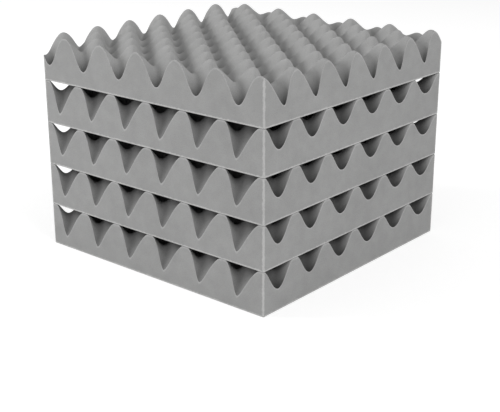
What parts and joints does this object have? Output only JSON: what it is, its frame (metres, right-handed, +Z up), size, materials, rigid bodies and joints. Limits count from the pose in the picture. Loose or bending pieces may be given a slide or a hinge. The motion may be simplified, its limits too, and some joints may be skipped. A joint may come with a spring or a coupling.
{
  "type": "acoustic foam panel",
  "caption": "Stack of square egg-crate acoustic foam panels, each with a flat back and staggered rows of nubs that absorb sound.",
  "frame": {"origin": "middle of the bottom panel's flat back, on the surface that the stack stands on", "axes": "+Z up, from the flat backs towards the nub tips; X and Y along the panels' square sides, with the picture's left face towards -Y and its right face towards +X"},
  "size_m": [0.305, 0.305, 0.2366],
  "materials": {
    "foam": "matt open-cell polyurethane foam, mid grey"
  },
  "bodies": {
    "bottom": {"bottom_panel": "foam"},
    "second": {"second_panel": "foam"},
    "middle": {"middle_panel": "foam"},
    "fourth": {"fourth_panel": "foam"},
    "top": {"top_panel": "foam"}
  },
  "joints": [
    {"name": "lift_second", "type": "slide", "parent": "bottom", "child": "second", "axis": [0, 0, 1], "range_m": [0, 0.06]},
    {"name": "lift_middle", "type": "slide", "parent": "second", "child": "middle", "axis": [0, 0, 1], "range_m": [0, 0.06]},
    {"name": "lift_fourth", "type": "slide", "parent": "middle", "child": "fourth", "axis": [0, 0, 1], "range_m": [0, 0.06]},
    {"name": "lift_top", "type": "slide", "parent": "fourth", "child": "top", "axis": [0, 0, 1], "range_m": [0, 0.06]}
  ]
}
